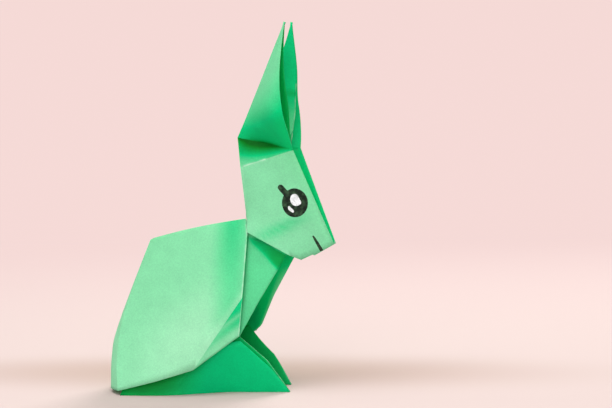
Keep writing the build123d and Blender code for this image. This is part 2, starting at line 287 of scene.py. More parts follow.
def moved(point, forward=0.0, out=0.0, up=0.0):
    return (point[0] + forward, point[1] + out, point[2] + up)


def straight(corners, steps=STEPS):
    """Points along straight runs, with every corner kept."""
    line = [corners[0]]
    for start, end in zip(corners, corners[1:]):
        line += [between(start, end, step / steps) for step in range(1, steps + 1)]
    return line


def curved(corners, steps=STEPS):
    """Points along a smooth curve that passes through every corner."""
    line = [corners[0]]
    last = len(corners) - 1
    for i in range(last):
        before, start, end, after = (corners[max(0, min(last, i + k))] for k in (-1, 0, 1, 2))
        for step in range(1, steps + 1):
            t = step / steps
            weights = (
                (-t + 2 * t**2 - t**3) / 2,
                (2 - 5 * t**2 + 3 * t**3) / 2,
                (t + 4 * t**2 - 3 * t**3) / 2,
                (t**3 - t**2) / 2,
            )
            axes = zip(before, start, end, after)
            line.append(tuple(sum(w * value for w, value in zip(weights, axis)) for axis in axes))
    return line


def spread(corners, count):
    """The given number of even runs along a line through the corners."""
    lengths = [math.dist(p, q) for p, q in zip(corners, corners[1:])]
    total = sum(lengths)
    line = [corners[0]]
    for step in range(1, count):
        target = total * step / count
        run = 0
        while target > lengths[run] and run < len(lengths) - 1:
            target -= lengths[run]
            run += 1
        line.append(between(corners[run], corners[run + 1], target / lengths[run]))
    line.append(corners[-1])
    return line


def softened(line, rounds=3 * STEPS):
    """The same line with the bends of its outward bow rounded off, ends kept."""
    for _ in range(rounds):
        threes = zip(line, line[1:], line[2:])
        inner = [(q[0], (p[1] + 2 * q[1] + r[1]) / 4, q[2]) for p, q, r in threes]
        line = line[:1] + inner + line[-1:]
    return line


def panel(top, bottom, left, right):
    """A patch of paper between four edges, as rows of points from top to bottom."""
    columns = len(top) - 1
    rows = len(left) - 1
    grid = []
    for j in range(rows + 1):
        v = j / rows
        row = []
        for i in range(columns + 1):
            u = i / columns
            across = between(left[j], right[j], u)
            down = between(top[i], bottom[i], v)
            corner = between(between(top[0], top[-1], u), between(bottom[0], bottom[-1], u), v)
            row.append(tuple(a + d - c for a, d, c in zip(across, down, corner)))
        grid.append(row)
    return grid


def relaxed(grid, rounds=8 * STEPS):
    """The panel with its inner points drawn smooth between its edges."""
    points = np.array(grid)
    for _ in range(rounds):
        around = points[:-2, 1:-1] + points[2:, 1:-1] + points[1:-1, :-2] + points[1:-1, 2:]
        points[1:-1, 1:-1] = around / 4
    return [[tuple(point) for point in row] for row in points.tolist()]


def turn(edge, partner):
    """The strip of paper that goes round a tight fold."""
    return [edge, partner]


def ear_panels():
    """The outer and the inner wall of one ear, joined by the fold behind."""
    outer_ridge = straight([between(EAR_ROOT, EAR_TIP, share) for share in EAR_ROW_SHARES])
    inner_root = moved(EAR_ROOT, *EAR_FOLD_AT_ROOT)
    inner_tip = moved(EAR_TIP, out=-EAR_FOLD_WIDTH)
    inner_ridge = straight([between(inner_root, inner_tip, share) for share in EAR_ROW_SHARES])
    outer_rim = []
    inner_rim = []
    rows = zip(EAR_ROW_SHARES, EAR_OUTER_SHARES, EAR_INNER_SHARES, EAR_DIP_SHARES, EAR_INNER_LEAD)
    for share, outer, inner, dip, lead in rows:
        front = between(BROW, EAR_TIP, share)
        outer_rim.append(moved(front, -dip * EAR_MOUTH_DIP, outer * EAR_MOUTH_FLARE))
        front = between(EAR_PARTING, inner_tip, share)
        inner_rim.append(moved(front, lead, inner * EAR_INNER_FLARE))
    brow = brow_line()
    parting = straight([inner_root, between(inner_root, EAR_PARTING, 0.5), EAR_PARTING])
    outer = swollen(panel(brow, [EAR_TIP] * len(brow), outer_ridge, curved(outer_rim)))
    inner = panel(parting, [inner_tip] * len(parting), inner_ridge, curved(inner_rim))
    return [outer, turn(outer_ridge, inner_ridge), inner]


def brow_valley(share):
    """How far the line between ear and cheek lies inside the straight line, front to back."""
    return BROW_VALLEY * math.sin(math.pi * share**BROW_VALLEY_LEAN) ** 2


def brow_line():
    """The valley fold between the ear and the cheek."""
    line = straight([between(EAR_ROOT, BROW, fifth / 5) for fifth in range(6)])
    last = len(line) - 1
    return [moved(point, out=-brow_valley(i / last)) for i, point in enumerate(line)]


def swollen(wall):
    """The ear's outer wall, brought out again just above the valley so that it overhangs."""
    last_row = len(wall) - 1
    result = []
    for j, row in enumerate(wall):
        v = j / last_row
        back_out = (1 - v) - math.exp(-v / EAR_VALLEY_REACH) * (1 - v)
        swell = EAR_SWELL * math.sin(math.pi * min(1.0, v / EAR_SWELL_TOP)) ** 2
        line = []
        for i, point in enumerate(row):
            u = i / (len(row) - 1)
            out = back_out * brow_valley(u) + swell * math.sin(math.pi * u)
            line.append(moved(point, out=out))
        result.append(line)
    return result


def head_panels():
    """The facet under the ear, the cheek, and the jaw turned up inside it."""
    lower = cheek_hem()
    brow = brow_line()
    crease = straight([between(CHEEK_CREASE_BACK, BROW, fifth / 5) for fifth in range(6)])
    facet_back = straight([EAR_ROOT, CHEEK_CREASE_BACK])
    facet = panel(brow, crease, facet_back, [BROW] * len(facet_back))
    back = straight([between(CHEEK_CREASE_BACK, NAPE, third / 3) for third in range(4)])
    face = straight([between(BROW, NOSE, third / 3) for third in range(4)])
    cheek = relaxed(panel(crease, lower, back, face))
    jaw = lower[: 3 * STEPS + 1]
    inner_jaw = like_jaw(inside_jaw(1))
    tuck = like_jaw(tuck_corners(1))
    back = straight([inner_jaw[0], tuck[0]])
    front = straight([inner_jaw[-1], tuck[-1]])
    return [facet, cheek, turn(jaw, inner_jaw), panel(inner_jaw, tuck, back, front)]


def cheek_hem():
    """The lower edge of the cheek: the jaw fold, the chin, and the lip with its small step."""
    line = softened(straight([NAPE, JAW_BACK, JAW_MIDDLE, JAW_FRONT, CHIN]))
    half = STEPS // 2
    lip = straight([CHIN, LIP_STEP], half - 1) + [LIP_LOW]
    return line + lip[1:] + straight([LIP_LOW, NOSE], half)[1:]


def like_jaw(corners):
    """A line of an inner layer with the same bow as the jaw fold."""
    jaw = cheek_hem()[: 3 * STEPS + 1]
    plain = straight([NAPE, JAW_BACK, JAW_MIDDLE, JAW_FRONT])
    bow = [a[1] - b[1] for a, b in zip(jaw, plain)]
    return [moved(point, out=extra) for point, extra in zip(straight(corners), bow)]


def inside_jaw(layers):
    """The jaw's corners on a layer further inside: forward at the spine, inward elsewhere."""
    depth = LAYER * layers
    nape = moved(NAPE, forward=SPINE_STEP * depth)
    others = ((JAW_BACK, 0.5), (JAW_MIDDLE, 0.0), (JAW_FRONT, -0.5))
    return [nape] + [moved(corner, forward=lean * depth, out=-depth) for corner, lean in others]


def tuck_corners(layers):
    """The hidden fold above the jaw, inside the head."""
    drift = TUCK_DEPTH * (EAR_ROOT[0] - NAPE[0]) / (EAR_ROOT[2] - NAPE[2])
    nape, *others = inside_jaw(layers)
    raised = [moved(corner, drift, -TUCK_NARROWING, TUCK_DEPTH) for corner in others]
    return [moved(nape, forward=drift, up=TUCK_DEPTH)] + raised


def chest_panels():
    """The neck, the chest and the pleat that joins the chest to the body."""
    tuck = like_jaw(tuck_corners(1))
    neck_top = like_jaw(tuck_corners(2))
    body_front = body_front_edge()
    pleat_front = [inside_body(point, 1) for point in body_front]
    pleat_fold = [inside_body(point, 1) for point in over_pleat()]
    chest_fold = [inside_body(point, 2) for point in over_pleat()]
    neck_back = straight([neck_top[0], NECK_BEND, chest_fold[0]])
    neck_middle = between(neck_top[-1], CHEST_UNDER_CHIN, 0.5)
    neck_front = straight([neck_top[-1], neck_middle, CHEST_UNDER_CHIN])
    chest_top = straight([chest_fold[0], NECK_SIDE_BACK, NECK_SIDE_FRONT, CHEST_UNDER_CHIN])
    chest_top = softened(chest_top)
    neck = panel(neck_top, chest_top, neck_back, neck_front)
    chest_front = spread([CHEST_UNDER_CHIN, CHEST_MIDDLE, KNEE], len(chest_fold) - 1)
    chest_foot = spread([chest_fold[-1], KNEE], len(chest_top) - 1)
    chest = relaxed(panel(chest_top, chest_foot, chest_fold, chest_front))
    pleat_top = straight([pleat_fold[0], pleat_front[0]])
    pleat_foot = straight([pleat_fold[-1], pleat_front[-1]])
    pleat = panel(pleat_top, pleat_foot, pleat_fold, pleat_front)
    turns = [turn(tuck, neck_top), turn(chest_fold, pleat_fold), turn(pleat_front, body_front)]
    return [neck, chest, pleat] + turns


def inside_body(point, layers):
    """A point under the body by some layers of paper: down at the spine, inward below it."""
    depth = LAYER * layers
    steep = min(1.0, point[1] / SHOULDER[1])
    drop = SPINE_DROP - (SPINE_DROP - LAYER_DROP) * steep
    return moved(point, out=-LAYER_INSET * depth * steep, up=-drop * depth)


def over_pleat():
    """The line on the body that lies over the pleat's hidden fold."""
    flank, knee, _ = body_panels()
    upper = [row[STEPS // 2] for row in flank]
    end = between(upper[-1], knee[-1][STEPS // 2], PLEAT_REACH)
    return upper + spread([upper[-1], end], 2 * STEPS)[1:]


def body_front_edge():
    upper = straight([WITHERS, SHOULDER, between(SHOULDER, ELBOW, 0.5), ELBOW])
    lower = straight([ELBOW, between(ELBOW, BODY_KNEE, 0.5), BODY_KNEE])
    return upper + lower[1:]


def body_panels():
    """The flank, the corner facet at the knee and the rounded rump."""
    spine = straight([between(WITHERS, HUMP, quarter / 4) for quarter in range(5)])
    last = len(spine) - 1
    spine = [moved(p, up=SPINE_BOW * math.sin(math.pi * i / last)) for i, p in enumerate(spine)]
    front = body_front_edge()
    elbow = 3 * STEPS
    crease = straight([ELBOW, between(ELBOW, BELLY, 0.5), BELLY])
    skirt = softened(straight([BELLY, SKIRT_MIDDLE, SKIRT_BACK]))
    haunch = curved([HUMP, HAUNCH_UPPER, HAUNCH_LOWER, SKIRT_BACK])
    flank = bowed_flank(relaxed(panel(spine, crease + skirt[1:], front[: elbow + 1], haunch)))
    knee_hem = straight([BODY_KNEE, between(BODY_KNEE, BELLY, 0.5), BELLY])
    knee = panel([ELBOW] * len(knee_hem), knee_hem, front[elbow:], crease)
    back = curved([HUMP, RUMP, TAIL_UPPER, TAIL])
    tail_hem = curved([SKIRT_BACK, TAIL_SIDE, TAIL])
    rump = panel([HUMP] * len(tail_hem), tail_hem, haunch, back)
    return [flank, knee, rump]


def bowed_flank(flank):
    """The flank with its flare at the skirt and its soft turn toward the front edge."""
    result = []
    for j, row in enumerate(flank):
        down = math.sin(math.pi * j / (len(flank) - 1))
        swollen_down = down**0.6
        line = []
        for i, point in enumerate(row):
            u = i / (len(row) - 1)
            swell = FLANK_SWELL * eased(u / FLANK_SWELL_RISE)
            swell *= 1 - eased((u - FLANK_SWELL_RISE) / (1 - FLANK_SWELL_RISE))
            flare = FLANK_FLARE * math.sin(math.pi * u)
            line.append(moved(point, out=swollen_down * swell - down * flare))
        result.append(line)
    return result


def foot_panels():
    """The inner layer that comes down from the chest, and the outer layer folded up again."""
    sole = spread([TOE, SOLE_FRONT], 3 * STEPS)
    sole = softened(sole + straight([SOLE_FRONT, SOLE_WIDE, HEEL])[1:])
    inner_sole = [moved(point, out=-LAYER) for point in sole]
    top = spread([SHIN_UPPER, FOOT_TOP_FRONT], 3 * STEPS)
    top = softened(top + straight([FOOT_TOP_FRONT, FOOT_TOP_MIDDLE, FOOT_TOP_BACK])[1:])
    shin = straight([SHIN_UPPER, SHIN_MIDDLE, TOE])
    back = straight([FOOT_TOP_BACK, between(FOOT_TOP_BACK, HEEL, 0.5), HEEL])
    outer = relaxed(panel(top, sole, shin, back))
    chest_foot = inside_body(over_pleat()[-1], 2)
    inner_middle = moved(FOOT_TOP_MIDDLE, out=-INNER_FOOT_STEP)
    inner_end = moved(FOOT_TOP_BACK, out=-INNER_FOOT_STEP)
    inner_top = spread([chest_foot, KNEE], 3 * STEPS)[::-1]
    inner_top += straight([chest_foot, inner_middle, inner_end])[1:]
    inner_shin = straight([KNEE, INNER_SHIN, inner_sole[0]])
    inner_back = straight([inner_end, between(inner_end, inner_sole[-1], 0.5), inner_sole[-1]])
    inner = panel(inner_top, inner_sole, inner_shin, inner_back)
    return [inner, turn(inner_sole, sole), outer]


def right_side(point):
    return (point[0], -point[1], point[2])


def eased(value):
    """A smooth step from 0 to 1."""
    value = max(0.0, min(1.0, value))
    return value * value * (3 - 2 * value)


def bell(value):
    """A smooth hump: 1 at 0, and nothing beyond 1 on either side."""
    return max(0.0, 1 - value * value) ** 2


def left_side(point):
    """The mirrored point, with the small unevenness of a sheet folded by hand."""
    forward, out, up = point
    front = eased(forward / KNEE[0]) * eased(out / LEFT_FADE)
    chest = eased((LEFT_CHEST_TOP - up) / LEFT_CHEST_TOP_FADE)
    chest *= eased((up - LEFT_CHEST_FOOT) / LEFT_CHEST_FOOT_FADE)
    chest *= eased((LEFT_CHEST_FRONT - forward) / LEFT_CHEST_FRONT_FADE)
    knee = bell((up - LEFT_KNEE_HEIGHT) / LEFT_KNEE_REACH)
    ear = bell((up - LEFT_EAR_HEIGHT) / LEFT_EAR_REACH)
    foot = 0.0
    if up < KNEE[2] and forward > KNEE[0]:
        foot = (forward - KNEE[0]) / (TOE[0] - KNEE[0])
    lead = (LEFT_CHEST_LEAD * chest + LEFT_EAR_LEAD * ear) * front
    return (forward + lead - LEFT_FOOT_SETBACK * foot, out, up - LEFT_KNEE_DROP * knee * front)


def spot(point):
    """The rounded place by which neighbouring panels find the points they share."""
    return tuple(round(value, SPOT_DIGITS) + 0.0 for value in point)


def undulated(point):
    """A point with the slight waviness of a sheet that was folded and opened again."""
    forward, out, up = point
    side = 1 if out > 0 else -1
    long_plane, short_plane = (side * away for away in WAVE_PLANES)
    wave = noise.noise(Vector((forward, long_plane, up)) / WAVE_LENGTH)
    wave += 0.5 * noise.noise(Vector((forward, short_plane, up)) / (WAVE_LENGTH / 2))
    fade = eased(abs(out) / WAVE_FADE) * eased((up - WAVE_BOTTOM) / WAVE_FADE)
    return (forward, out + side * WAVE_HEIGHT * wave * fade, up)


# Painted light and shade at a panel's points: 0 is the lit paper, 1 the shaded paper and 2 the
# dark of deep folds. Here u runs along the panel's rows and v from its first row to its last.
def even(painted_shade):
    """The same painted shade all over a panel."""
    return lambda u, v, point: painted_shade


def ear_painted_shade(u, v, point):
    """Painted shade: deep at the ear's root, where the wall turns down into the valley, fading out
    toward its tip.
    """
    root = 0.8 * math.exp(-v / 0.03) * bell((u - 0.52) / 0.5)
    return 1.1 + root - 0.78 * eased((v - 0.02 - 0.3 * u) / 0.54)


def ear_hollow_painted_light_and_shade(u, v, point):
    """Painted light near the root; above it the painted shade of a faint cross crease and the deep
    painted shade of the upper part.
    """
    bright = 0.45 * bell((v - 0.2) / 0.27) * eased((u - 0.5) / 0.45)
    return 1.0 - bright + 0.3 * math.exp(-(((v - 0.46 - 0.04 * u) / 0.018) ** 2))


def facet_painted_shade(u, v, point):
    """Painted shade: darkest in the depth of the valley under the ear's overhang, lighter down to
    the crease.
    """
    pale = (0.2 + 0.5 * (1 - u) ** 2) * eased((v - 0.42) / 0.58)
    return 1 - pale + 2.0 * math.exp(-v / 0.33) * bell((u - 0.38) / 0.64)


def cheek_painted_shade(u, v, point):
    """Painted light over the cheek, with a streak of painted shade along the soft valley of a fold
    that was pressed and opened again.
    """
    start, end = CHEEK_PAINTED_SHADE_STREAK
    run = (end[0] - start[0], end[1] - start[1])
    length = math.hypot(*run)
    here = (point[0] - start[0], point[2] - start[1])
    along = (here[0] * run[0] + here[1] * run[1]) / length**2
    away = (here[1] * run[0] - here[0] * run[1]) / length
    return 0.12 + 0.6 * math.exp(-((away / 2.0) ** 2)) * bell((along - 0.42) / 0.7)


def chest_painted_shade_and_shadow(u, v, point):
    """Even painted shade, with the painted shadow that the jaw throws in a wedge toward the
    chest's front edge.
    """
    wedge = 1 - eased((v - 0.22 * (u - 0.36)) / 0.07)
    return 0.6 + wedge * (0.6 * eased((u - 0.2) / 0.25) + 0.25 * eased((u - 0.5) / 0.4))


def chest_lining_painted_light_and_shade(u, v, point):
    """Deep painted shade, with painted light along the front edge where light comes through."""
    return 1.1 - 0.75 * eased((u - 0.78) / 0.22) * eased((v - 0.1) / 0.35)


def neck_painted_shade(u, v, point):
    """Painted shade, deeper toward the front, like the chest below it."""
    return 0.42 + 0.5 * eased((u - 0.15) / 0.2)


def flank_painted_light_and_shade(u, v, point):
    """Painted shade in a soft band beside the front edge, where the flank turns from the light;
    painted light, palest, low and far back.
    """
    band = 0.68 * bell((u - 0.12) / 0.24) * (1 - 0.25 * v)
    band -= 0.3 * eased((v - 0.86) / 0.1) * eased((0.5 - u) / 0.3)
    return band + 0.06 + 0.12 * (1 - v) - 0.3 * bell((u - 0.5) / 0.5) * bell((v - 0.8) / 0.5)


def knee_painted_shade(u, v, point):
    """Painted shade: deep in the upper corner, with a soft streak of it across the middle."""
    corner = 0.85 * (1 - eased((v - 0.3) / 0.12))
    return 0.15 + corner + 0.8 * bell((v - 0.56) / 0.26) * (1 - 0.5 * u)


def foot_painted_shade(u, v, point):
    """Painted shade: deep green, darker in the corner where the foot goes up under the body."""
    return 1.0 + 0.95 * eased((u - 0.62) / 0.3) * (1 - 0.5 * v)


# For each panel in the order of the sheet: its painted shade outside, and on the side that faces
# in.
PAINTED_SHADES = (
    (ear_painted_shade, even(1.0)),
    (even(1.0), even(1.0)),
    (even(1.4), ear_hollow_painted_light_and_shade),
    (facet_painted_shade, even(1.0)),
    (cheek_painted_shade, even(1.0)),
    (even(1.0), even(1.0)),
    (even(1.0), even(1.0)),
    (neck_painted_shade, even(1.0)),
    (chest_painted_shade_and_shadow, chest_lining_painted_light_and_shade),
    (even(1.0), even(1.0)),
    (even(1.0), even(1.0)),
    (even(1.0), even(1.0)),
    (even(1.0), even(1.0)),
    (flank_painted_light_and_shade, even(1.0)),
    (knee_painted_shade, even(1.0)),
    (even(0.0), even(1.0)),
    (even(1.3), even(1.3)),
    (even(1.3), even(1.3)),
    (foot_painted_shade, even(1.0)),
)


def sheet_mesh():
    """The middle surface of the folded sheet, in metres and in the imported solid's place."""
    grids = ear_panels() + head_panels() + chest_panels() + body_panels() + foot_panels()
    index = {}
    faces = []
    painted_shades_outside = []
    painted_shades_inside = []
    for place in (right_side, left_side):
        for grid, (outside, inside) in zip(grids, PAINTED_SHADES):
            rows, columns = len(grid) - 1, len(grid[0]) - 1
            for j in range(rows):
                for i in range(columns):
                    face = {}
                    for a, b in ((i, j), (i + 1, j), (i + 1, j + 1), (i, j + 1)):
                        corner = grid[b][a]
                        key = index.setdefault(spot(place(corner)), len(index))
                        face.setdefault(key, (a / columns, b / rows, corner))
                    if len(face) > 2:
                        faces.append(list(face))
                        painted_shades_outside += [outside(*where) for where in face.values()]
                        painted_shades_inside += [inside(*where) for where in face.values()]
    points = [Vector(undulated(point)) * MM for point in index]
    shift = shift_to_solid(points)
    mesh = bpy.data.meshes.new("folded_paper")
    mesh.from_pydata([point + shift for point in points], [], faces)
    # Painted shade for each corner: depth for the paper's outside, and the other for the side that
    # faces in.
    stored(mesh, "depth", "CORNER", painted_shades_outside)
    stored(mesh, "lining_painted_shade", "CORNER", painted_shades_inside)
    turned_one_way(mesh)
    # Pale lines of rubbed paper and painted highlight along folds and cut edges.
    worn_and_highlit = {}
    for place, inner_rim_wear_and_highlight in zip((right_side, left_side), INNER_RIM_WEAR_AND_HIGHLIGHT):
        for line, strength in worn_and_highlit_lines(inner_rim_wear_and_highlight):
            worn_and_highlit.update({spot(place(point)): strength for point in line})
    stored(mesh, "wear_and_painted_highlight", "POINT", [worn_and_highlit.get(key, 0.0) for key in index])
    return mesh, shift


def shift_to_solid(points):
    """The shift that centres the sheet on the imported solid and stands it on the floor."""
    low = Vector([min(p[axis] for p in points) for axis in range(3)])
    high = Vector([max(p[axis] for p in points) for axis in range(3)])
    middle = (Vector(cad_box[0]) + Vector(cad_box[1])) / 2
    shift = middle - (low + high) / 2
    shift.z = (PAPER_THICKNESS / 2 + SOLE_LIFT) * MM - low.z
    return shift


def stored(mesh, name, domain, values):
    """Store one value for each corner or point, for the material to read."""
    layer = mesh.attributes.new(name, "FLOAT", domain)
    layer.data.foreach_set("value", values)


def turned_one_way(mesh):
    """Turn the faces of a mesh so that their normals agree."""
    bm = bmesh.new()
    bm.from_mesh(mesh)
    bmesh.ops.recalc_face_normals(bm, faces=bm.faces)
    bm.to_mesh(mesh)
    bm.free()


def new_object(name, data):
    made = bpy.data.objects.new(name, data)
    bpy.context.scene.collection.objects.link(made)
    return made


def worn_and_highlit_lines(inner_rim_wear_and_highlight):
    """The folds and cut edges that show pale, partly from rubbed paper and white cut edges and
    partly as a painted highlight where the fold catches the light, with how strongly they do.
    """
    outer_ear, _, inner_ear = ear_panels()
    facet, cheek, *_ = head_panels()
    _, chest, *_ = chest_panels()
    flank, *_ = body_panels()
    inner_foot, *_ = foot_panels()
    crease = facet[-1]
    return [
        (body_front_edge(), 1.0),
        (flank[-1][: 2 * STEPS + 1], 0.55),
        ([row[-1] for row in chest], 0.6),
        ([row[0] for row in inner_foot], 0.9),
        ([row[-1] for row in inner_ear][1 : 3 * STEPS], inner_rim_wear_and_highlight),
        (crease[1 : len(crease) // 2], 1.0),
        (crease[len(crease) // 2 : -2], 0.6),
        ([row[0] for row in cheek], 0.5),
        ([row[1] for row in cheek], 0.78),
        (cheek[-1][STEPS : 2 * STEPS], 0.4),
        ([row[-1] for row in outer_ear][1 : 2 * STEPS], 0.7),
    ]


def folded_paper(material):
    mesh, shift = sheet_mesh()
    paper = new_object("folded_paper", mesh)
    mesh.materials.append(material)
    thick = paper.modifiers.new("thickness", "SOLIDIFY")
    thick.thickness = PAPER_THICKNESS * MM
    thick.offset = 0
    thick.use_even_offset = True
    for polygon in mesh.polygons:
        polygon.use_smooth = True
    mesh.set_sharp_from_angle(angle=SHARP_ANGLE)
    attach(paper, "root")
    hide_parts("folded_sheet")
    return paper, shift


class Look:
    """A new material, whose nodes are added one at a time from the inputs to the surface."""

    def __init__(self, name):
        self.material = bpy.data.materials.new(name)
        self.material.use_nodes = True
        self.material.node_tree.nodes.clear()

    def node(self, kind, inputs, output=0, **settings):
        """One output of a new node; each input is a fixed value or another node's output."""
        tree = self.material.node_tree
        made = tree.nodes.new(kind)
        for name, value in settings.items():
            setattr(made, name, value)
        for name, value in inputs.items():
            if isinstance(value, bpy.types.NodeSocket):
                tree.links.new(value, made.inputs[name])
            else:
                made.inputs[name].default_value = value
        return made.outputs[output]

    def attribute(self, name):
        return self.node("ShaderNodeAttribute", {}, "Fac", attribute_name=name)

    def noise(self, scale, detail, **inputs):
        """Noise that is fixed to the piece."""
        place = self.node("ShaderNodeTexCoord", {}, "Object")
        inputs = {"Vector": place, "Scale": scale, "Detail": detail, **inputs}
        return self.node("ShaderNodeTexNoise", inputs)

    def ranged(self, value, start, end, low=0.0, high=1.0, **settings):
        """The value's place between start and end, as a number from low to high."""
        inputs = {"Value": value, "From Min": start, "From Max": end}
        inputs |= {"To Min": low, "To Max": high}
        return self.node("ShaderNodeMapRange", inputs, **settings)

    def product(self, first, second):
        return self.node("ShaderNodeMath", {0: first, 1: second}, operation="MULTIPLY")

    def mixed(self, share, first, second, **settings):
        """A colour between two others, each another node's output or a plain colour."""
        inputs = {"Factor": share}
        for place, colour in ((6, first), (7, second)):
            inputs[place] = (*colour, 1) if isinstance(colour, tuple) else colour
        return self.node("ShaderNodeMix", inputs, 2, data_type="RGBA", **settings)

    def matt(self, colour, roughness, gloss, **inputs):
        inputs = {
            "Base Color": colour, "Roughness": roughness, "Specular IOR Level": gloss, **inputs
        }
        return self.node("ShaderNodeBsdfPrincipled", inputs)

    def both(self, share, first, second):
        return self.node("ShaderNodeMixShader", {0: share, 1: first, 2: second})

    def finished(self, surface):
        tree = self.material.node_tree
        tree.links.new(surface, tree.nodes.new("ShaderNodeOutputMaterial").inputs[0])
        return self.material


def paper_material():
    """Dyed craft paper with painted light and shade: a lit and a shaded copy of the green and the
    dark of deep folds, mixed by the painted shade stored on the sheet; matt, fine fibres, pale
    where folds are rubbed and where they catch the light as a painted highlight, a little light
    through.
    """
    look = Look("green_paper")
    fibres = look.noise(FIBRE_SCALE, 3, Roughness=0.6)
    speckle = look.ranged(fibres, 0.3, 0.7, 1 - FIBRE_CONTRAST, 1 + FIBRE_CONTRAST / 2)
    clouds = look.noise(CLOUD_SCALE, 2)
    cloudy = look.ranged(clouds, 0.3, 0.7, 1 - CLOUD_CONTRAST, 1 + CLOUD_CONTRAST)

    # Painted shade: the level stored for the outside or for the side that faces in, 0 for the lit
    # copy of the green and 1 for the shaded copy.
    painted_shade = look.node(
        "ShaderNodeMix",
        {
            "Factor": facing_in(look),
            2: look.attribute("depth"),
            3: look.attribute("lining_painted_shade"),
        },
    )
    dye_with_painted_shade = look.mixed(painted_shade, PAPER_PAINTED_LIT, PAPER_PAINTED_SHADE, clamp_factor=False)
    # Past 1 the painted shade turns toward the dark of deep folds.
    below = look.node("ShaderNodeMath", {0: painted_shade, 1: 1.0}, operation="SUBTRACT", use_clamp=True)
    dye_with_painted_shade = look.mixed(below, dye_with_painted_shade, PAPER_PAINTED_DARK_SHADE)
    mottled = {0: dye_with_painted_shade, "Scale": look.product(speckle, cloudy)}
    dye_with_painted_shade = look.node("ShaderNodeVectorMath", mottled, operation="SCALE")

    # Pale along rubbed folds and cut edges, and a painted highlight where folds catch the light.
    worn_and_highlit = {0: look.attribute("wear_and_painted_highlight"), 1: WEAR_AND_HIGHLIGHT_SHARPNESS}
    worn_and_highlit = look.node("ShaderNodeMath", worn_and_highlit, operation="POWER")
    patchy = look.ranged(look.noise(RUB_SCALE, 2), 0.35, 0.62, 0.15, WEAR_AND_HIGHLIGHT_STRENGTH)
    colour = look.mixed(look.product(worn_and_highlit, patchy), dye_with_painted_shade, PAPER_RUBBED_AND_HIGHLIT)

    relief = {"Strength": FIBRE_RELIEF, "Distance": FIBRE_HEIGHT * MM, "Height": fibres}
    bump = look.node("ShaderNodeBump", relief)
    front = look.matt(colour, PAPER_ROUGHNESS, PAPER_GLOSS, Normal=bump)
    through = look.node("ShaderNodeBsdfTranslucent", {"Color": (*PAPER_GLOW, 1)})
    return look.finished(look.both(PAPER_THROUGH, front, through))


def facing_in(look):
    """1 where the paper faces the rabbit's middle plane, and 0 elsewhere."""
    place = look.node("ShaderNodeNewGeometry", {}, "Position")
    normal = look.node("ShaderNodeNewGeometry", {}, "Normal")
    product = look.node("ShaderNodeVectorMath", {0: place, 1: normal}, operation="MULTIPLY")
    sideways = look.node("ShaderNodeSeparateXYZ", {0: product}, "Y")
    return look.node("ShaderNodeMath", {0: sideways, 1: -INWARD * MM}, operation="LESS_THAN")


def closed_curve(corners, steps=STEPS):
    """A smooth closed outline through every corner."""
    count = len(corners)
    line = curved([corners[i % count] for i in range(-2, count + 3)], steps)
    return line[2 * steps : (count + 2) * steps]


def eye_outline(count=200):
    """The round eye drawn by hand, with the one lash that runs out of it."""
    reach = math.dist(EYE, LASH_TIP)
    along = ((LASH_TIP[0] - EYE[0]) / reach, (LASH_TIP[1] - EYE[1]) / reach)
    line = []
    for i in range(count):
        angle = 2 * math.pi * i / count
        ray = (math.cos(angle), math.sin(angle))
        rim = 1 / math.hypot(ray[0] / EYE_HALF_WIDTH, ray[1] / EYE_HALF_HEIGHT)
        around = (ray[0] * EYE_WOBBLE_PACE, ray[1] * EYE_WOBBLE_PACE, EYE_WOBBLE_PLANE)
        rim *= 1 + EYE_WOBBLE * noise.noise(Vector(around))
        radius = reach + 2 * LASH_HALF_WIDTH
        while radius > rim:
            here = (ray[0] * radius, ray[1] * radius)
            share = max(0.0, min(reach, here[0] * along[0] + here[1] * along[1]))
            if math.dist(here, (along[0] * share, along[1] * share)) < LASH_HALF_WIDTH:
                break
            radius -= EYE_OUTLINE_STEP
        line.append((EYE[0] + ray[0] * radius, EYE[1] + ray[1] * radius))
    return line


def ink(name, outline, side, level, material, tree, shift):
    """A thin closed film of ink that follows the cheek; level counts the films below it."""
    middle = [sum(values) / len(outline) for values in zip(*outline)]
    points = []
    for top in (True, False):
        for share in INK_RINGS + (0.0,):
            for corner in outline if share else [middle]:
                forward, up = between(middle, corner, share)
                start = Vector((forward * MM + shift.x, side * INK_RAY_START, up * MM + shift.z))
                place, normal, *_ = tree.ray_cast(start, Vector((0, -side, 0)))
                base = PAPER_THICKNESS / 2 + INK_GAP + level * (INK_THICKNESS + INK_GAP)
                height = INK_THICKNESS * (INK_RIM_SHARE if share == 1.0 else 1.0)
                lift = (base + (height if top else 0.0)) / abs(normal.y)
                points.append(place + Vector((0, side * lift * MM, 0)))
    mesh = bpy.data.meshes.new(name)
    mesh.from_pydata(points, [], film_faces(len(outline)))
    turned_one_way(mesh)
    mesh.materials.append(material)
    film = new_object(name, mesh)
    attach(film, "root")


def film_faces(count):
    """The film's top and underside, ring by ring to the middle, and the wall round its rim."""
    half = len(INK_RINGS) * count + 1
    faces = []
    for base in (0, half):
        for ring in range(len(INK_RINGS)):
            for i in range(count):
                here, there = base + ring * count + i, base + ring * count + (i + 1) % count
                if ring < len(INK_RINGS) - 1:
                    faces.append([here, there, there + count, here + count])
                else:
                    faces.append([here, there, base + half - 1])
    for i in range(count):
        there = (i + 1) % count
        faces.append([i, there, half + there, half + i])
    return faces


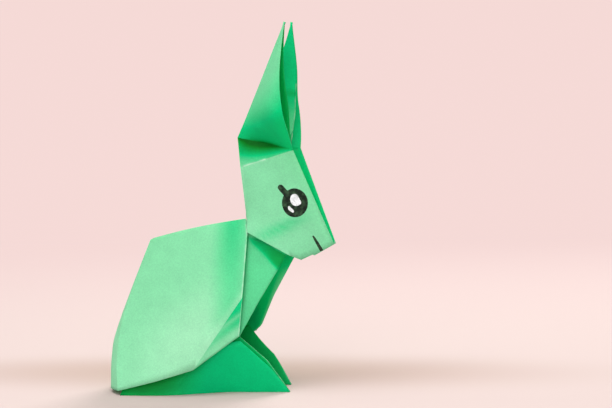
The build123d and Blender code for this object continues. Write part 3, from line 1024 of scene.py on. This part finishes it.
def face_ink(paper, shift):
    """The eye, its highlights and the mouth line, drawn on both cheeks."""
    tree = BVHTree.FromPolygons(
        [v.co for v in paper.data.vertices], [tuple(p.vertices) for p in paper.data.polygons]
    )
    black = ink_material("black_ink", INK_BLACK, INK_BLACK_THIN)
    white = ink_material("white_ink", INK_WHITE, INK_WHITE_THIN)
    for name, side in (("right", -1), ("left", 1)):
        ink(f"eye_{name}", eye_outline(), side, 0, black, tree, shift)
        ink(f"mouth_{name}", closed_curve(MOUTH), side, 0, black, tree, shift)
        ink(f"highlight_{name}", closed_curve(HIGHLIGHT), side, 1, white, tree, shift)
        ink(f"glint_{name}", closed_curve(GLINT), side, 1, white, tree, shift)


def ink_material(name, dense, thin):
    """Marker ink: dense, with thinner patches where the strokes do not overlap."""
    look = Look(name)
    strokes = look.noise(STROKE_SCALE, 2, Distortion=0.6)
    patches = look.ranged(strokes, 0.42, 0.68)
    return look.finished(look.matt(look.mixed(patches, dense, thin), INK_ROUGHNESS, INK_GLOSS))


def camera():
    data = bpy.data.cameras.new("camera")
    data.lens = LENS_MM
    data.sensor_width = SENSOR_MM
    made = new_object("camera", data)
    place = Vector(CAMERA_PLACE) * MM
    target = Vector(CAMERA_TARGET) * MM
    made.location = place
    aim = (target - place).to_track_quat("-Z", "Y").to_matrix()
    made.rotation_euler = (aim @ Matrix.Rotation(math.radians(CAMERA_ROLL), 3, "Z")).to_euler()
    bpy.context.scene.camera = made


def stage_material():
    """Pale paper where it is seen, directly or in a reflection, with a painted shadow in a soft
    ellipse on the floor about the rabbit, and darker for what it lights.
    """
    look = Look("stage_paper")
    place = look.node("ShaderNodeNewGeometry", {}, "Position")
    local = look.node(
        "ShaderNodeMapping",
        {
            "Vector": place,
            "Location": (*(-at / reach for at, reach in zip(PAINTED_SHADOW_PLACE, PAINTED_SHADOW_REACH)), 0),
            "Scale": (*(1 / reach for reach in PAINTED_SHADOW_REACH), 0),
        },
    )
    away = look.node("ShaderNodeVectorMath", {0: local}, "Value", operation="LENGTH")
    # Painted shadow: the floor is tinted darker toward the middle of a soft ellipse.
    clear = look.ranged(away, 0.0, 1.0, interpolation_type="SMOOTHERSTEP")
    painted_shadow_colour = tuple(c * t for c, t in zip(STAGE_COLOUR, PAINTED_SHADOW_TINT))
    floor = look.matt(look.mixed(clear, painted_shadow_colour, STAGE_COLOUR), STAGE_ROUGHNESS, 0.0)

    behind = look.node("ShaderNodeSeparateXYZ", {0: place}, "Y")
    height = look.node("ShaderNodeSeparateXYZ", {0: place}, "Z")
    faded = look.ranged(behind, FADE_START, FADE_END, interpolation_type="SMOOTHSTEP")
    risen = look.ranged(height, 0.0, STAGE_HEIGHT / 2)
    backdrop = {0: look.mixed(risen, BACKDROP_LOW, BACKDROP_HIGH)}
    seen = look.both(faded, floor, look.node("ShaderNodeEmission", backdrop))
    bounced = look.node("ShaderNodeBsdfDiffuse", {"Color": (*STAGE_BOUNCE, 1)})
    shown = look.node("ShaderNodeLightPath", {}, "Is Camera Ray")
    for kind in ("Is Glossy Ray", "Is Transmission Ray"):
        ray = look.node("ShaderNodeLightPath", {}, kind)
        shown = look.node("ShaderNodeMath", {0: shown, 1: ray}, operation="MAXIMUM")
    return look.finished(look.both(shown, bounced, seen))


def stage():
    """A floor that sweeps up behind the rabbit."""
    profile = [(-STAGE_NEAR, 0.0), (STAGE_FAR, 0.0)]
    for step in range(1, STAGE_STEPS + 1):
        angle = math.pi / 2 * step / STAGE_STEPS
        reach, rise = math.sin(angle), 1 - math.cos(angle)
        profile.append((STAGE_FAR + STAGE_BEND * reach, STAGE_BEND * rise))
    profile.append((STAGE_FAR + STAGE_BEND, STAGE_HEIGHT))
    points = [(side * STAGE_HALF, y, z) for y, z in profile for side in (-1, 1)]
    faces = [(2 * i, 2 * i + 1, 2 * i + 3, 2 * i + 2) for i in range(len(profile) - 1)]
    mesh = bpy.data.meshes.new("floor")
    mesh.from_pydata(points, [], faces)
    for polygon in mesh.polygons:
        polygon.use_smooth = True
    mesh.materials.append(stage_material())
    floor = new_object("floor", mesh)


def world():
    made = bpy.data.worlds.new("world")
    bpy.context.scene.world = made
    made.use_nodes = True
    nodes = made.node_tree.nodes
    background = nodes["Background"]
    background.inputs[0].default_value = (*AMBIENT_COLOUR, 1)
    background.inputs[1].default_value = AMBIENT


def softbox(azimuth, elevation, size, power):
    """A square lamp; azimuth from the side view's near side toward the rabbit's front."""
    data = bpy.data.lights.new("softbox", "AREA")
    data.size = size
    data.energy = power
    lamp = new_object("softbox", data)
    turn_round, lift = math.radians(azimuth), math.radians(elevation)
    level = math.cos(lift)
    aim = Vector((math.sin(turn_round) * level, -math.cos(turn_round) * level, math.sin(lift)))
    lamp.location = Vector(LAMP_CENTRE) + aim * LAMP_DISTANCE
    lamp.rotation_euler = aim.to_track_quat("Z", "Y").to_euler()


bpy.context.scene.view_settings.view_transform = "Standard"
camera()
stage()
world()
for lamp in LAMPS:
    softbox(*lamp)
paper, shift = folded_paper(paper_material())
face_ink(paper, shift)
